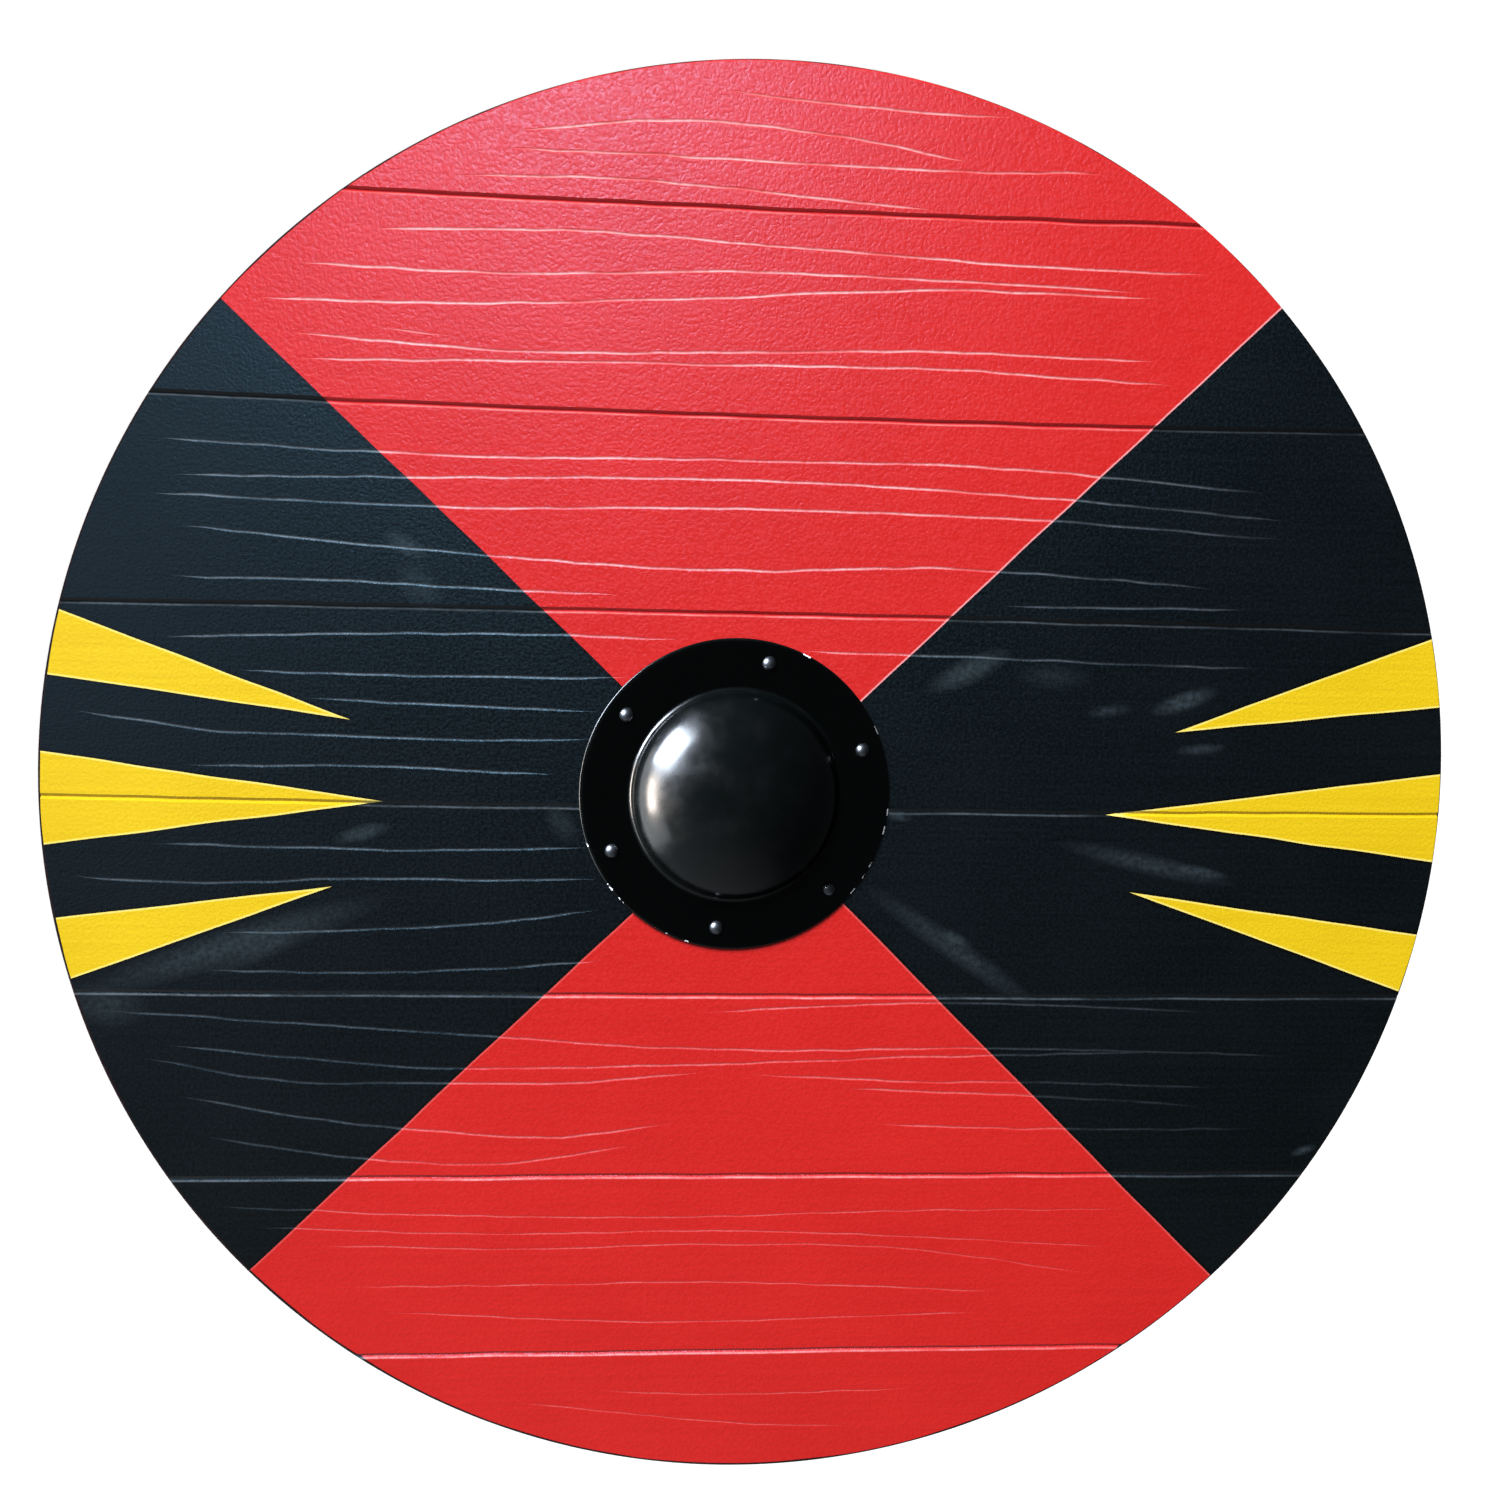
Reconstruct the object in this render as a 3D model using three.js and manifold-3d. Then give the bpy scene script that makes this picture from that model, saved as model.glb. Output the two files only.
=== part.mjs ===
// A wooden round shield with a steel boss, lying on its back with its painted face up.
// Millimetres, +Z up. The origin is on the resting plane under the middle of the board,
// +X runs along the grooves and +Y across them.

import * as THREE from 'three';
import { mergeVertices } from 'three/addons/utils/BufferGeometryUtils.js';
import Module from 'manifold-3d';

// Board
const BOARD_DIAMETER = 762;
const BOARD_THICKNESS = 12;
const FRONT_ARRIS_RADIUS = 1.5;
const BACK_ARRIS_RADIUS = 1;

// Grooves across the face, evenly spaced between the two outer boards, one for each bow.
// A bow is how far that hand-cut groove leaves a straight line at the rim.
const OUTER_BOARD_WIDTH = 70.8;
const MIDDLE_GROOVE_Y = -1;
const GROOVE_WIDTH = 3;
const GROOVE_DEPTH = 1.2;
const GROOVE_BOWS = [-0.2, -0.9, 0.8, 2.2, -1.4, 3.8, 3.8];

// Boss, which sits a little to the left of the board's middle and above it
const BOSS_CENTRE_X = -15.5;
const BOSS_CENTRE_Y = 6;
const DOME_DIAMETER = 111;
const DOME_HEIGHT = 35;
const DOME_FOOT_RADIUS = 3;
const BOSS_WALL = 1.8;
const FLANGE_WIDTH = 28.5;
const FLANGE_EDGE_RADIUS = 0.6;
const HAND_HOLE_LEDGE = 1.6;

// Rivets, set by hand at these angles round the boss, clockwise from +Y, and the washers under their tails
const RIVET_DEGREES = [12.9, 69.5, 133.7, 186.6, 244.9, 305.5];
const RIVET_INSET = 11.3;
const RIVET_SHANK_DIAMETER = 4;
const RIVET_HEAD_DIAMETER = 7.8;
const RIVET_HEAD_HEIGHT = 3.2;
const RIVET_TAIL_DIAMETER = 6.4;
const RIVET_TAIL_FLAT_DIAMETER = 4.4;
const RIVET_TAIL_HEIGHT = 1.2;
const RIVET_TAIL_SINK = 0.2;
const WASHER_DIAMETER = 12;
const WASHER_THICKNESS = 1.5;

// Grip, a bar across the hand hole under the first and fourth rivets
const GRIP_WIDTH = 30;
const GRIP_END_THICKNESS = 6;
const GRIP_END_CORNER_RADIUS = 1;
const GRIP_END_BEYOND_RIVET = 20;
const GRIP_HANDLE_THICKNESS = 18;
const GRIP_HANDLE_CORNER_RADIUS = 8.5;
const GRIP_SHOULDER_LENGTH = 16;

// Clearances: between touching faces, round a shank in its hole, round a piece let into the wood
const SEAT_GAP = 0.3;
const SHANK_CLEARANCE = 0.3;
const HOUSING_CLEARANCE = 0.4;

// Facets
const BOARD_SEGMENTS = 144;
const BOSS_SEGMENTS = 56;
const HOLE_SEGMENTS = 48;
const RIVET_SEGMENTS = 14;
const GROOVE_STEPS = 12;

// Sizes that follow from those above
const boardRadius = BOARD_DIAMETER / 2;
const grooveSpacing = (BOARD_DIAMETER - 2 * OUTER_BOARD_WIDTH) / (GROOVE_BOWS.length - 1);
const domeRadius = DOME_DIAMETER / 2;
const flangeRadius = domeRadius + FLANGE_WIDTH;
const handHoleRadius = domeRadius - BOSS_WALL - HAND_HOLE_LEDGE;
const rivetCircleRadius = flangeRadius - RIVET_INSET;
const shankRadius = RIVET_SHANK_DIAMETER / 2;
const shankHoleRadius = shankRadius + SHANK_CLEARANCE;
const flangeUnderside = BOARD_THICKNESS + SEAT_GAP;
const flangeTop = flangeUnderside + BOSS_WALL;
const tailTop = RIVET_TAIL_SINK + RIVET_TAIL_HEIGHT;
const washerBottom = tailTop + SEAT_GAP;
const washerTop = washerBottom + WASHER_THICKNESS;
const washerRecessDepth = washerTop + SEAT_GAP;
const washerRecessRadius = WASHER_DIAMETER / 2 + HOUSING_CLEARANCE;
const gripHalfLength = rivetCircleRadius + GRIP_END_BEYOND_RIVET;
const CUT_PAST = 1;

const wasm = await Module();
wasm.setup();

const paintedWood = new THREE.MeshStandardMaterial({ color: 0xd8322f, roughness: 0.5, metalness: 0 });
const blackEnamel = new THREE.MeshStandardMaterial({ color: 0x0a0c0f, roughness: 0.2, metalness: 0 });
const darkSteel = new THREE.MeshStandardMaterial({ color: 0x4a4d50, roughness: 0.4, metalness: 1 });
const zincSteel = new THREE.MeshStandardMaterial({ color: 0xa9abab, roughness: 0.4, metalness: 1 });
const ash = new THREE.MeshStandardMaterial({ color: 0xb98d5c, roughness: 0.6, metalness: 0 });

// Points along a circular arc, in radians from the first angle to the last
function arc(centreX, centreY, radius, from, to, steps) {
  return Array.from({ length: steps + 1 }, (_, i) => {
    const angle = from + ((to - from) * i) / steps;
    return new THREE.Vector2(centreX + radius * Math.cos(angle), centreY + radius * Math.sin(angle));
  });
}

// A body turned round the Z axis from a profile of (radius, height) points
function turned(profile, segments) {
  const geometry = new THREE.LatheGeometry(profile, segments);
  geometry.rotateX(Math.PI / 2);
  return geometry;
}

// A closed body through rings that each hold the same number of points
function lofted(rings) {
  const count = rings[0].length;
  const positions = rings.flat().flatMap((point) => [point.x, point.y, point.z]);
  const indices = [];
  for (let ring = 0; ring < rings.length - 1; ring += 1) {
    for (let i = 0; i < count; i += 1) {
      const a = ring * count + i;
      const b = ring * count + ((i + 1) % count);
      indices.push(a, b, b + count, a, b + count, a + count);
    }
  }
  const last = (rings.length - 1) * count;
  for (let i = 1; i < count - 1; i += 1) {
    indices.push(0, i + 1, i);
    indices.push(last, last + i, last + i + 1);
  }
  const geometry = new THREE.BufferGeometry();
  geometry.setAttribute('position', new THREE.Float32BufferAttribute(positions, 3));
  geometry.setIndex(indices);
  return geometry;
}

function toSolid(geometry) {
  const bare = geometry.clone();
  bare.deleteAttribute('normal');
  bare.deleteAttribute('uv');
  const merged = mergeVertices(bare, 1e-4);
  return new wasm.Manifold(new wasm.Mesh({
    numProp: 3,
    vertProperties: new Float32Array(merged.attributes.position.array),
    triVerts: new Uint32Array(merged.index.array),
  }));
}

function toGeometry(solid) {
  const mesh = solid.getMesh();
  const geometry = new THREE.BufferGeometry();
  geometry.setAttribute('position', new THREE.BufferAttribute(mesh.vertProperties, 3));
  geometry.setIndex(new THREE.BufferAttribute(mesh.triVerts, 1));
  geometry.computeVertexNormals();
  return geometry;
}

// A round cutter standing on the Z axis
function drill(radius, bottom, top, segments) {
  const geometry = new THREE.CylinderGeometry(radius, radius, top - bottom, segments);
  geometry.rotateX(Math.PI / 2);
  geometry.translate(0, 0, (top + bottom) / 2);
  return toSolid(geometry);
}

// Rivet places, measured from the boss's axis
const rivetPlaces = RIVET_DEGREES.map((degrees) => {
  const angle = THREE.MathUtils.degToRad(degrees);
  return new THREE.Vector2(rivetCircleRadius * Math.sin(angle), rivetCircleRadius * Math.cos(angle));
});

// The grip lies along the line between its two rivets
const alongGrip = rivetPlaces[0].clone().sub(rivetPlaces[3]);
const gripTurn = alongGrip.angle() - Math.PI / 2;

function isUnderGrip(place) {
  const acrossGrip = place.clone().rotateAround(new THREE.Vector2(), -gripTurn).x;
  return Math.abs(acrossGrip) < GRIP_WIDTH / 2;
}

// Grooves: a V section swept across the whole face along a slightly bowed line
function grooveCutter(middle, bow) {
  const slope = GROOVE_WIDTH / 2 / GROOVE_DEPTH;
  const halfWidth = slope * (GROOVE_DEPTH + CUT_PAST);
  const reach = boardRadius + CUT_PAST;
  const rings = [];
  for (let step = 0; step <= GROOVE_STEPS; step += 1) {
    const x = -reach + (2 * reach * step) / GROOVE_STEPS;
    const y = middle + bow * ((x / boardRadius) ** 2 - 1 / 3);
    rings.push([
      new THREE.Vector3(x, y - halfWidth, BOARD_THICKNESS + CUT_PAST),
      new THREE.Vector3(x, y, BOARD_THICKNESS - GROOVE_DEPTH),
      new THREE.Vector3(x, y + halfWidth, BOARD_THICKNESS + CUT_PAST),
    ]);
  }
  return toSolid(lofted(rings));
}

function grooveCutters() {
  const middle = (GROOVE_BOWS.length - 1) / 2;
  return GROOVE_BOWS.map((bow, i) => grooveCutter(MIDDLE_GROOVE_Y + (i - middle) * grooveSpacing, bow));
}

// The grip's outline on the board's back, with the clearance round it
function gripHousingCutter() {
  const width = GRIP_WIDTH + 2 * HOUSING_CLEARANCE;
  const length = 2 * (gripHalfLength + HOUSING_CLEARANCE);
  const depth = GRIP_END_THICKNESS + SEAT_GAP;
  const box = new THREE.BoxGeometry(width, length, depth + CUT_PAST);
  box.translate(0, 0, (depth - CUT_PAST) / 2);
  box.rotateZ(gripTurn);
  return toSolid(box);
}

function boardGeometry() {
  const back = arc(boardRadius - BACK_ARRIS_RADIUS, BACK_ARRIS_RADIUS, BACK_ARRIS_RADIUS, -Math.PI / 2, 0, 2);
  const front = arc(boardRadius - FRONT_ARRIS_RADIUS, BOARD_THICKNESS - FRONT_ARRIS_RADIUS,
    FRONT_ARRIS_RADIUS, 0, Math.PI / 2, 3);
  const profile = [
    new THREE.Vector2(0, 0), ...back, ...front, new THREE.Vector2(0, BOARD_THICKNESS),
  ];
  let board = toSolid(turned(profile, BOARD_SEGMENTS));
  grooveCutters().forEach((cutter) => {
    board = board.subtract(cutter);
  });
  const through = BOARD_THICKNESS + CUT_PAST;
  const behindBoss = [drill(handHoleRadius, -CUT_PAST, through, HOLE_SEGMENTS), gripHousingCutter()];
  rivetPlaces.forEach((place) => {
    const shankHole = drill(shankHoleRadius, -CUT_PAST, through, RIVET_SEGMENTS);
    behindBoss.push(shankHole.translate([place.x, place.y, 0]));
    if (!isUnderGrip(place)) {
      const recess = drill(washerRecessRadius, -CUT_PAST, washerRecessDepth, RIVET_SEGMENTS);
      behindBoss.push(recess.translate([place.x, place.y, 0]));
    }
  });
  behindBoss.forEach((cutter) => {
    board = board.subtract(cutter.translate([BOSS_CENTRE_X, BOSS_CENTRE_Y, 0]));
  });
  return toGeometry(board);
}

// Boss: its sheet is drawn along the outside, from the flange's edge over the foot to the crown,
// and the inside is the same line moved in by the wall. Heights are above the flange's underside.
function bossGeometry() {
  const footTop = BOSS_WALL + DOME_FOOT_RADIUS;
  const rise = DOME_HEIGHT - footTop;
  const domeSteps = 8;
  const outside = arc(flangeRadius - FLANGE_EDGE_RADIUS, BOSS_WALL - FLANGE_EDGE_RADIUS,
    FLANGE_EDGE_RADIUS, 0, Math.PI / 2, 1);
  outside.push(...arc(domeRadius + DOME_FOOT_RADIUS, footTop, DOME_FOOT_RADIUS, -Math.PI / 2, -Math.PI, 3));
  const inside = [new THREE.Vector2(flangeRadius, 0)];
  inside.push(...arc(domeRadius + DOME_FOOT_RADIUS, footTop, DOME_FOOT_RADIUS + BOSS_WALL,
    -Math.PI / 2, -Math.PI, 3));
  for (let step = 1; step <= domeSteps; step += 1) {
    const angle = (Math.PI / 2) * (step / domeSteps);
    const point = new THREE.Vector2(domeRadius * Math.cos(angle), footTop + rise * Math.sin(angle));
    const inward = new THREE.Vector2(-rise * Math.cos(angle), -domeRadius * Math.sin(angle)).normalize();
    if (step === domeSteps) {
      point.x = 0;
      inward.set(0, -1);
    }
    outside.push(point);
    inside.push(point.clone().addScaledVector(inward, BOSS_WALL));
  }
  const profile = [...inside.reverse(), ...outside];
  let boss = toSolid(turned(profile, BOSS_SEGMENTS));
  rivetPlaces.forEach((place) => {
    const hole = drill(shankHoleRadius, -CUT_PAST, BOSS_WALL + CUT_PAST, RIVET_SEGMENTS);
    boss = boss.subtract(hole.translate([place.x, place.y, 0]));
  });
  return toGeometry(boss);
}

// Rivet: tail, shank and domed head, from the sunk tail up
function rivetGeometry() {
  const headBottom = flangeTop + SEAT_GAP;
  const headRadius = RIVET_HEAD_DIAMETER / 2;
  const tailRadius = RIVET_TAIL_DIAMETER / 2;
  const headSteps = 4;
  const head = Array.from({ length: headSteps + 1 }, (_, i) => {
    const angle = (Math.PI / 2) * (i / headSteps);
    const radius = i === headSteps ? 0 : headRadius * Math.cos(angle);
    return new THREE.Vector2(radius, headBottom + RIVET_HEAD_HEIGHT * Math.sin(angle));
  });
  const profile = [
    new THREE.Vector2(0, RIVET_TAIL_SINK),
    new THREE.Vector2(RIVET_TAIL_FLAT_DIAMETER / 2, RIVET_TAIL_SINK),
    new THREE.Vector2(tailRadius, RIVET_TAIL_SINK + RIVET_TAIL_HEIGHT / 2),
    new THREE.Vector2(tailRadius, tailTop),
    new THREE.Vector2(shankRadius, tailTop),
    new THREE.Vector2(shankRadius, headBottom),
    ...head,
  ];
  return turned(profile, RIVET_SEGMENTS);
}

function washerGeometry() {
  const profile = [
    new THREE.Vector2(shankHoleRadius, washerBottom),
    new THREE.Vector2(WASHER_DIAMETER / 2, washerBottom),
    new THREE.Vector2(WASHER_DIAMETER / 2, washerTop),
    new THREE.Vector2(shankHoleRadius, washerTop),
    new THREE.Vector2(shankHoleRadius, washerBottom),
  ];
  return turned(profile, RIVET_SEGMENTS);
}

// One ring of the grip: a bar's section with round corners, flat on the resting plane
function gripSection(along, thickness, cornerRadius) {
  const cornerSteps = 3;
  const corners = [
    [1, 1, 0], [-1, 1, Math.PI / 2], [-1, -1, Math.PI], [1, -1, (3 * Math.PI) / 2],
  ];
  return corners.flatMap(([sideX, sideZ, from]) => {
    const centreX = sideX * (GRIP_WIDTH / 2 - cornerRadius);
    const centreZ = thickness / 2 + sideZ * (thickness / 2 - cornerRadius);
    return arc(centreX, centreZ, cornerRadius, from, from + Math.PI / 2, cornerSteps)
      .map((point) => new THREE.Vector3(point.x, along, point.y));
  });
}

// The grip runs along Y here: thin ends in the board, a thick rounded handle inside the hand hole
function gripGeometry() {
  const swellStart = Math.sqrt((handHoleRadius - HOUSING_CLEARANCE) ** 2 - (GRIP_WIDTH / 2) ** 2);
  const handleHalfLength = swellStart - GRIP_SHOULDER_LENGTH;
  const shoulderSteps = 6;
  const stations = [[gripHalfLength, 0]];
  for (let step = 0; step <= shoulderSteps; step += 1) {
    const share = step / shoulderSteps;
    stations.push([handleHalfLength + GRIP_SHOULDER_LENGTH * (1 - share), share * share * (3 - 2 * share)]);
  }
  const otherHalf = stations.map(([along, swell]) => [-along, swell]).reverse();
  const rings = [...stations, ...otherHalf].map(([along, swell]) => gripSection(
    along,
    THREE.MathUtils.lerp(GRIP_END_THICKNESS, GRIP_HANDLE_THICKNESS, swell),
    THREE.MathUtils.lerp(GRIP_END_CORNER_RADIUS, GRIP_HANDLE_CORNER_RADIUS, swell),
  ));
  let grip = toSolid(lofted(rings));
  rivetPlaces.filter(isUnderGrip).forEach((place) => {
    const local = place.clone().rotateAround(new THREE.Vector2(), -gripTurn);
    const shankHole = drill(shankHoleRadius, -CUT_PAST, GRIP_END_THICKNESS + CUT_PAST, RIVET_SEGMENTS);
    const recess = drill(washerRecessRadius, -CUT_PAST, washerRecessDepth, RIVET_SEGMENTS);
    grip = grip.subtract(shankHole.translate([local.x, local.y, 0]));
    grip = grip.subtract(recess.translate([local.x, local.y, 0]));
  });
  return toGeometry(grip);
}

function piece(name, geometry, material) {
  const mesh = new THREE.Mesh(geometry, material);
  mesh.name = name;
  return mesh;
}

const shield = new THREE.Group();
shield.add(piece('board', boardGeometry(), paintedWood));

const bossPlace = new THREE.Group();
bossPlace.position.set(BOSS_CENTRE_X, BOSS_CENTRE_Y, 0);
shield.add(bossPlace);

const boss = piece('boss', bossGeometry(), blackEnamel);
boss.position.z = flangeUnderside;
bossPlace.add(boss);

const grip = piece('grip', gripGeometry(), ash);
grip.rotation.z = gripTurn;
bossPlace.add(grip);

rivetPlaces.forEach((place, i) => {
  const rivet = piece(`rivet_${i + 1}`, rivetGeometry(), darkSteel);
  const washer = piece(`washer_${i + 1}`, washerGeometry(), zincSteel);
  rivet.position.set(place.x, place.y, 0);
  washer.position.set(place.x, place.y, 0);
  bossPlace.add(rivet, washer);
});

export default shield;
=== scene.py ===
import math

import bpy
import numpy as np
from mathutils import Matrix, Vector, noise
from mathutils.geometry import delaunay_2d_cdt


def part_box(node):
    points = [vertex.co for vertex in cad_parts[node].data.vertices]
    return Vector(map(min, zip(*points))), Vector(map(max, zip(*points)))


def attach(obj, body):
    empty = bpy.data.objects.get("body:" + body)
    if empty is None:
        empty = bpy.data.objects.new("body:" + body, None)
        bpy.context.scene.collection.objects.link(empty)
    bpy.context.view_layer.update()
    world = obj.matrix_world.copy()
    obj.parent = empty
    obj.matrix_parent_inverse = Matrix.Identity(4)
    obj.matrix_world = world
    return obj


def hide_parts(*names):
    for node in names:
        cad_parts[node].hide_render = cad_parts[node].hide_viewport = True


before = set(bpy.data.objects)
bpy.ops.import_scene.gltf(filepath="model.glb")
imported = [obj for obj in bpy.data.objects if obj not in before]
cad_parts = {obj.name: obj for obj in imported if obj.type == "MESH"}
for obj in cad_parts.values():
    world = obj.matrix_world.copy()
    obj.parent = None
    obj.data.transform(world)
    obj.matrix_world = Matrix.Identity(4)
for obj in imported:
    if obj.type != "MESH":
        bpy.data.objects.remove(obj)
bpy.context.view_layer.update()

# The board
# One flat softwood panel, sawn to a circle. Seven V grooves are cut across its face by hand, so that it
# reads as eight boards, and thin grain lines are scored between them. The face is brushed with satin
# paint, the sawn edge is painted black, and the back is clear varnished.
MM = 0.001
board_low, board_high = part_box("board")
board_radius = (board_high[0] - board_low[0]) / 2 / MM
board_thickness = (board_high[2] - board_low[2]) / MM
front_arris = 1.5
back_arris = 1.0
rings_from_rim = (2.2, 1.5, 1.0, 0.6, 0.25, 0.05)
rim_steps = 360
# Where a line of the plan crosses the rim, its point lies up to this far inside the circle
rim_chord_depth = 0.05
# The black paint of the sawn edge laps over the front corner as painted shade of the rounded corner, more so
# towards the lower left
edging_width = 1.2
edging_shade_shift = Vector((0.35, 0.5))

groove_spacing = 103.4
middle_groove = 3
middle_groove_y = -1.0
groove_width = 3.0
groove_depth = 1.2
groove_steps = 84
# From the lowest groove up: how far it bows between the board's middle and its rim, how much painted shade
# darkens its bottom, and how strongly a painted highlight pales its lower edge
groove_bows = (-0.2, -0.9, 0.8, 2.2, -1.4, 3.8, 3.8)
groove_painted_shade = (0.45, 0.45, 0.5, 0.45, 0.85, 1.0, 1.0)
groove_painted_highlight = (0.55, 0.55, 0.55, 0.45, 0.45, 0.4, 0.35)
# The painted highlight lies in a strip this far below a groove's bottom, on its lower wall
highlight_below_bottom = 1.3
highlight_half_width = 0.8

boss_low, boss_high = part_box("boss")
boss_centre = Vector((boss_low[0] + boss_high[0], boss_low[1] + boss_high[1])) / 2 / MM
flange_radius = (boss_high[0] - boss_low[0]) / 2 / MM
hand_hole_radius = 52.1
rivet_nodes = sorted(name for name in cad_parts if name.startswith("rivet_"))
washer_nodes = sorted(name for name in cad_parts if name.startswith("washer_"))


def node_middle(node):
    """The middle of a CAD piece in plan, in millimetres."""
    low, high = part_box(node)
    return Vector((low[0] + high[0], low[1] + high[1])) / 2 / MM


rivet_places = [node_middle(node) for node in rivet_nodes]
shank_hole_radius = 2.3
washer_recess_radius = 6.4
washer_recess_depth = 3.5
housing_depth = 6.3
housing_clearance = 0.4
grip_width = 30.0
grip_end_beyond_rivet = 20.0
grip_direction = (rivet_places[0] - rivet_places[3]).normalized()
grip_half_length = (rivet_places[0] - boss_centre).length + grip_end_beyond_rivet

# Red above and below, black at the sides: each border runs from the pattern's middle to this rim angle
pattern_middle = Vector((-9.0, 0.0))
border_rim_angles = {"upper_left": 138.1, "upper_right": 45.2, "lower_left": -136.7, "lower_right": -45.0}
undercoat_line_width = 0.9
paint_ridge_width = 1.0
dark_ridge_width = 1.6
# Yellow rays: the two rim angles of each, and the place of its tip
rays = (
    ((165.1, 170.4), (-220, 43)),
    ((176.3, 183.9), (-203, 0)),
    ((189.7, 194.9), (-230, -46)),
    ((15.0, 9.1), (226, 44)),
    ((3.6, -4.0), (190, -2)),
    ((-10.2, -15.4), (206, -45)),
)

# Scored grain lines on each board from the top one down: where the line starts and ends along X,
# then its height above the board's middle line at equal steps between them
score_half_width = 0.85
score_depth = 0.25
score_taper = 22.0
score_strengths = (1.0, 1.0, 1.0, 1.0, 1.0, 0.95, 0.7, 0.6)
scored_lines = (
    ((-139, 101, -21, -12, -15, -26), (-144, 175, -29, -29, -30, -30, -28), (-166, 82, -43, -41, -45, -50),
     (-32, 122, 4, 0, -2, -3)),
    ((-210, 233, 33, 36, 32, 28, 27), (-247, 191, 15, 14, 19, 19, 17), (-265, 202, -3, -1, 6, 14, 14),
     (-250, 204, -19, -24, -21, -17, -18), (-244, 213, -32, -29, -27, -26, -30), (-206, -165, -15, -18)),
    ((-318, 269, 30, 26, 28, 28, 19), (-309, 280, 12, 15, 18, 14, 5), (-322, 281, 3, 0, 3, 2, -5),
     (-307, 242, -13, -23, -29, -25, -32), (-312, -79, -39, -39, -41, -43), (125, 262, -44, -43)),
    ((-317, -47, 33, 37, 39, 38), (18, 272, 33, 32, 30, 29), (-278, -76, 17, 16, 17), (-243, -89, 3, 1, -1),
     (-363, -94, -5, -14, -16, -17, -16), (-307, -112, -33, -32, -35)),
    ((-324, -95, 29, 27, 29), (-366, -89, 11, 8, 11, 11, 12), (-291, -87, -19, -17, -13, -5),
     (-298, -86, -39, -40, -38, -33)),
    ((-350, 304, 42, 31, 21, 22, 18), (-319, 230, 23, 11, 12, 17, 20), (-331, -28, 16, 3, 2, 2, 8),
     (-3, 264, 7, 3, 2, -1), (50, 257, -1, -4, -7, -12), (-314, -44, -5, -17, -25, -29, -21),
     (-299, -66, -28, -40, -44, -34), (69, 288, -22, -25, -25), (-29, 255, 42, 46, 48, 46, 43)),
    ((-297, 217, 36, 30, 28, 31, 31), (-273, 209, 24, 19, 20, 16, 8), (-239, 201, 13, 10, 12, 8, -8),
     (-221, 145, -11, -11, -10, -13, -18), (-204, 133, -26, -31, -34, -32, -30)),
    ((-85, 98, 29, 26, 26, 28), (-132, 62, 23, 15, 8, 5)),
)

plan_points = []
plan_edges = []
plan_areas = []


def plan_line(points):
    """Draw an open line on the board's plan, which the edges of its faces then follow."""
    first = len(plan_points)
    plan_points.extend(Vector(point[:2]) for point in points)
    plan_edges.extend((first + i, first + i + 1) for i in range(len(points) - 1))


def plan_area(points):
    """Draw a closed outline on the plan, anticlockwise, and return its number."""
    first = len(plan_points)
    plan_points.extend(Vector(point[:2]) for point in points)
    plan_areas.append(list(range(first, first + len(points))))
    return len(plan_areas) - 1


def circle(centre, radius, steps):
    """Points round a circle, anticlockwise."""
    turns = [2 * math.pi * i / steps for i in range(steps)]
    return [Vector((centre[0] + radius * math.cos(t), centre[1] + radius * math.sin(t))) for t in turns]


def at_angle(degrees, radius):
    """A point at an angle and a distance from the board's middle."""
    return Vector((radius * math.cos(math.radians(degrees)), radius * math.sin(math.radians(degrees))))


def strayed(along, seed, wave, amount):
    """How far a hand-held tool or brush has strayed from its line at a distance along it."""
    return amount * noise.noise(Vector((along / wave, seed * 3.7, 0.5)))


def hand_line(start, end, seed, step=8.0, wave=30.0, amount=0.5):
    """A line drawn by hand from one point to another."""
    start = Vector(start)
    end = Vector(end)
    length = (end - start).length
    side = Vector((start.y - end.y, end.x - start.x)) / length
    count = max(2, round(length / step))
    points = []
    for i in range(count + 1):
        share = i / count
        ends_hold = min(1.0, 4 * share, 4 * (1 - share))
        points.append(start.lerp(end, share) + side * ends_hold * strayed(share * length, seed, wave, amount))
    return points


def groove_y(number, x):
    """The height up the face of a groove's bottom line, with its bow and the hand's waver."""
    middle = middle_groove_y + (number - middle_groove) * groove_spacing
    bow = groove_bows[number] * ((x / board_radius) ** 2 - 1 / 3)
    return middle + bow + strayed(x, number + 11, 28.0, 0.5)


def smooth_heights(heights, shares):
    """Heights on a smooth curve through heights given at equal steps."""
    count = len(heights) - 1
    padded = [2 * heights[0] - heights[1], *heights, 2 * heights[-1] - heights[-2]]
    curve = []
    for share in shares:
        place = min(share * count, count - 1e-6)
        i = int(place)
        t = place - i
        a, b, c, d = padded[i:i + 4]
        curve.append(b + t * (c - a + t * (2 * a - 5 * b + 4 * c - d + t * (3 * (b - c) + d - a))) / 2)
    return curve


def score_route(board_number, row, seed):
    """The bottom line of one scored grain line: points along it and how fully it is cut at each."""
    start, end, *heights = row
    middle = middle_groove_y + (middle_groove + 0.5 - board_number) * groove_spacing
    length = end - start
    count = max(4, round(length / 7.0))
    shares = [i / count for i in range(count + 1)]
    curve = smooth_heights(heights, shares)
    route = []
    fullness = []
    for share, height in zip(shares, curve):
        along = share * length
        route.append(Vector((start + along, middle + height + strayed(along, seed, 16.0, 0.7))))
        ends = min(1.0, along / score_taper, (length - along) / score_taper)
        fullness.append(score_strengths[board_number] * ends)
    return route, fullness


def beside(route, widths):
    """The route moved sideways by a width at each point."""
    moved = []
    for i, point in enumerate(route):
        before = route[max(i - 1, 0)]
        after = route[min(i + 1, len(route) - 1)]
        along = (after - before).normalized()
        moved.append(point + Vector((-along.y, along.x)) * widths[i])
    return moved


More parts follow.
